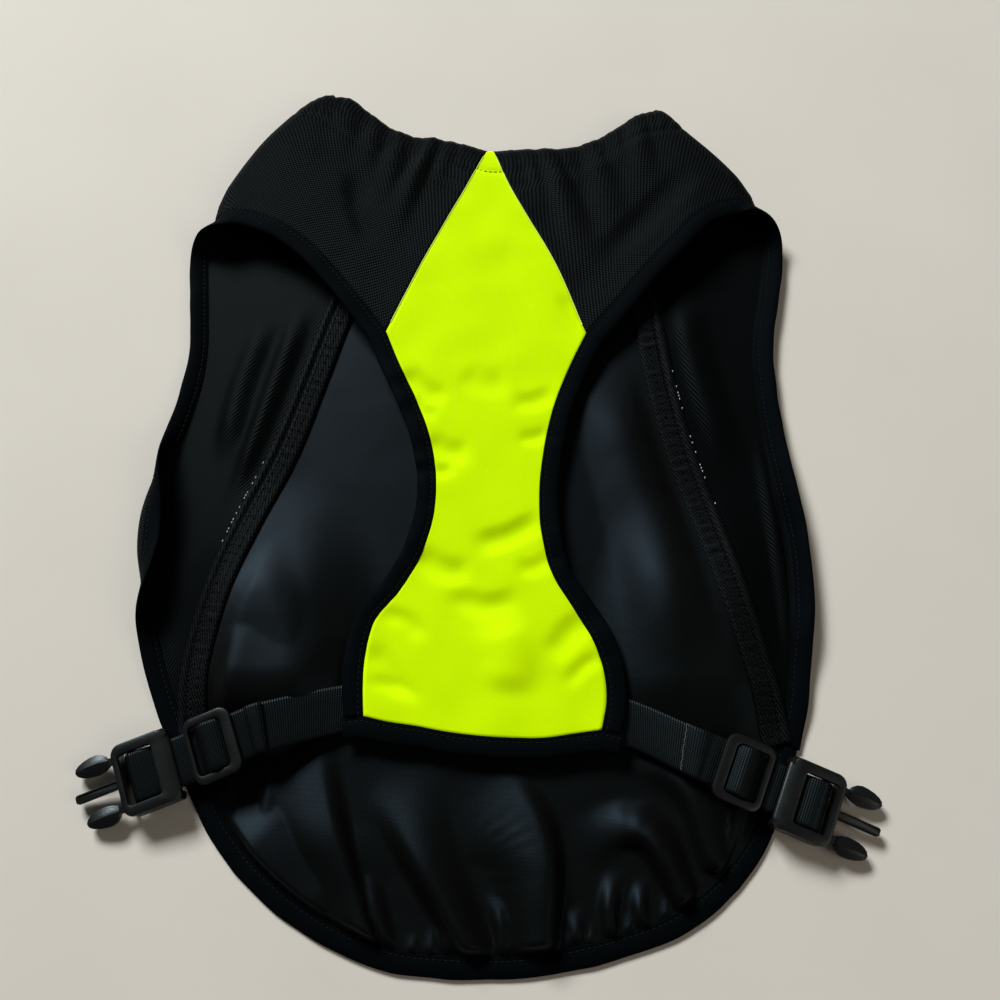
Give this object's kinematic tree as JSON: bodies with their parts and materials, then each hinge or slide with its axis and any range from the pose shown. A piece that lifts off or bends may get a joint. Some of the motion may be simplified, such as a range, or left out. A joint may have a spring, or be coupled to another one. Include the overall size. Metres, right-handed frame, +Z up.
{
  "type": "dog cooling vest",
  "caption": "Dog cooling vest laid flat, chest side up, with mesh shoulders, a bright chest panel, bound armholes, and straps with side-release buckles.",
  "frame": {"origin": "middle of the vest's footprint, on the surface it lies on", "axes": "+Z up from the surface, +Y from the tail hem to the neck, +X to the right of someone looking at the chest side with the neck at the top"},
  "size_m": [0.4038, 0.513, 0.023],
  "materials": {
    "mesh_black": "matte air mesh",
    "lining_black": "smooth, slightly satin",
    "neon_yellow": "matte woven",
    "binding_black": "matte tape",
    "webbing_black": "ribbed webbing",
    "plastic_black": "satin moulded"
  },
  "bodies": {
    "root": {"back_panel": "lining_black", "side_panel_left": "mesh_black", "side_panel_right": "mesh_black", "chest_panel": "neon_yellow", "binding_chest_hem": "binding_black", "binding_armhole_left": "binding_black", "binding_armhole_right": "binding_black", "binding_tail": "binding_black", "seam_strip_left": "mesh_black", "seam_strip_right": "mesh_black", "strap_left": "webbing_black", "strap_right": "webbing_black", "slider_left": "plastic_black", "slider_right": "plastic_black", "buckle_left": "plastic_black", "buckle_right": "plastic_black", "socket_left": "plastic_black", "socket_right": "plastic_black", "socket_tab_left": "webbing_black", "socket_tab_right": "webbing_black"}
  },
  "joints": []
}
